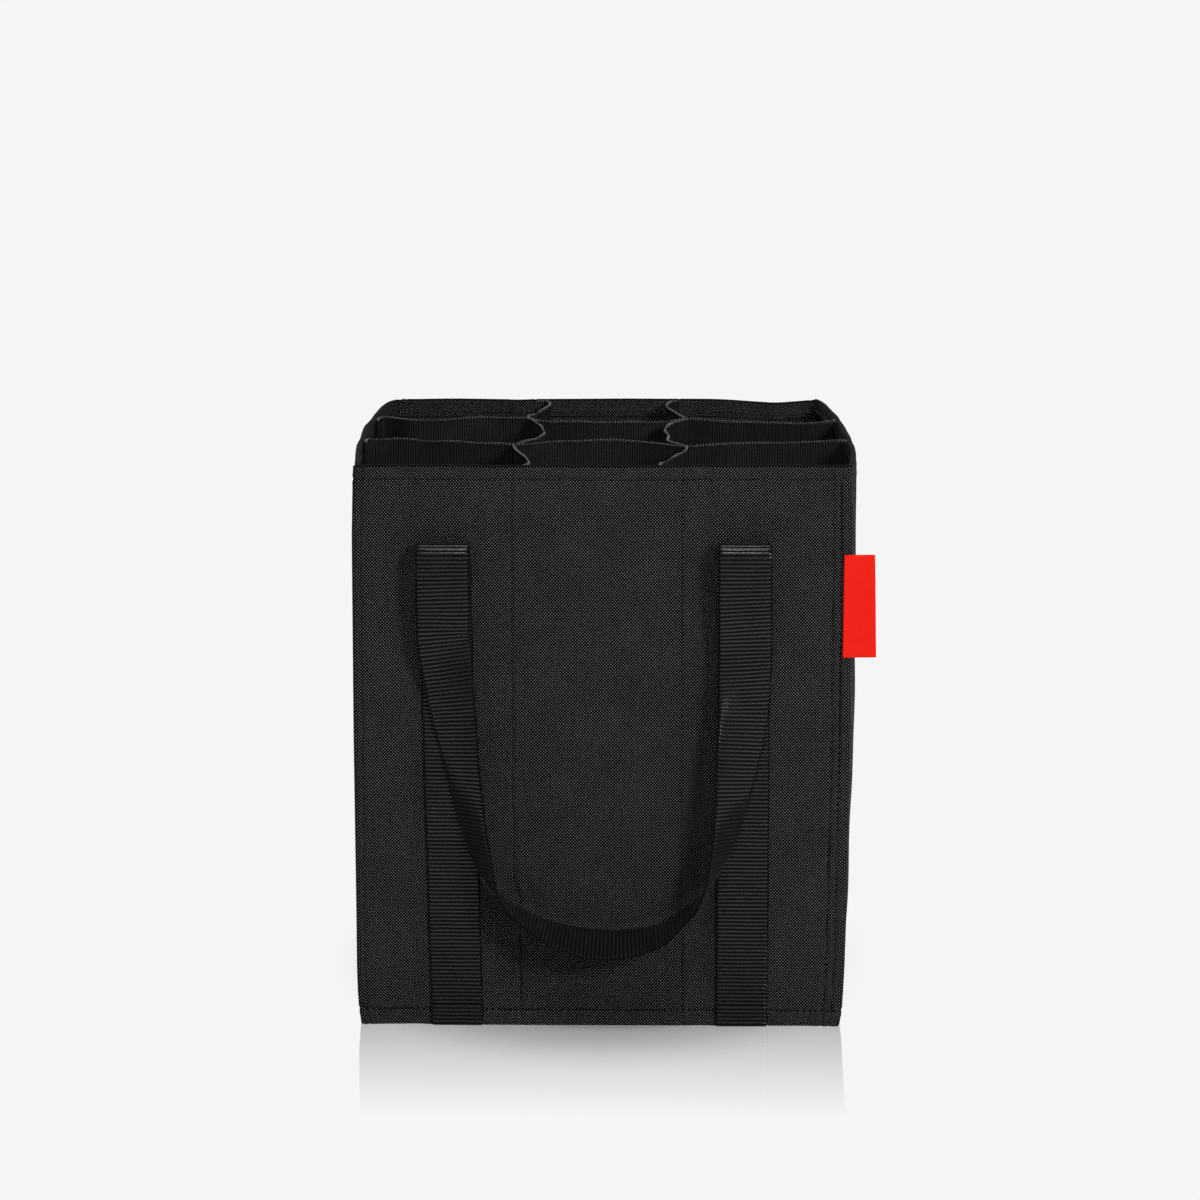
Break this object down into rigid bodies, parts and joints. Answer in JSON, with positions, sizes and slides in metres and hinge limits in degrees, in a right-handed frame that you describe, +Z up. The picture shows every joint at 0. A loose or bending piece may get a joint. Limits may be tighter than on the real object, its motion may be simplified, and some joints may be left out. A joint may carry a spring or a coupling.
{
  "type": "bottle bag",
  "caption": "Square open-topped cloth bag with divider compartments for bottles, two webbing handle loops and a blank side tab.",
  "frame": {"origin": "middle of the base cloth's underside, on the surface that the bag stands on", "axes": "+X to the side that carries the tab, the right in the picture; +Y to the back; +Z up"},
  "size_m": [0.2619, 0.2964, 0.285],
  "materials": {
    "cloth": "black woven polyester, fine dotted weave",
    "divider": "black ribbed polyester with an overlocked edge",
    "webbing": "black ribbed webbing with a slight sheen",
    "board": "dark grey stiffening board",
    "tab": "red woven ribbon, blank"
  },
  "bodies": {
    "bag": {"front_panel": "cloth", "back_panel": "cloth", "left_side_panel": "cloth", "right_side_panel": "cloth", "base_panel": "cloth", "base_board": "board", "front_cross_divider": "divider", "rear_cross_divider": "divider", "left_front_divider": "divider", "left_middle_divider": "divider", "left_rear_divider": "divider", "right_front_divider": "divider", "right_middle_divider": "divider", "right_rear_divider": "divider", "front_left_strap": "webbing", "front_right_strap": "webbing", "back_left_strap": "webbing", "back_right_strap": "webbing", "left_base_strap": "webbing", "right_base_strap": "webbing", "side_label": "tab"},
    "front_loop": {"front_handle": "webbing"},
    "back_loop": {"back_handle": "webbing"}
  },
  "joints": [
    {"name": "front_handle_swing", "type": "hinge", "parent": "bag", "child": "front_loop", "pos_m": [0, -0.1269, 0.2419], "axis": [-1, 0, 0], "range_deg": [0, 180]},
    {"name": "back_handle_swing", "type": "hinge", "parent": "bag", "child": "back_loop", "pos_m": [0, 0.1269, 0.2419], "axis": [1, 0, 0], "range_deg": [0, 180]}
  ]
}
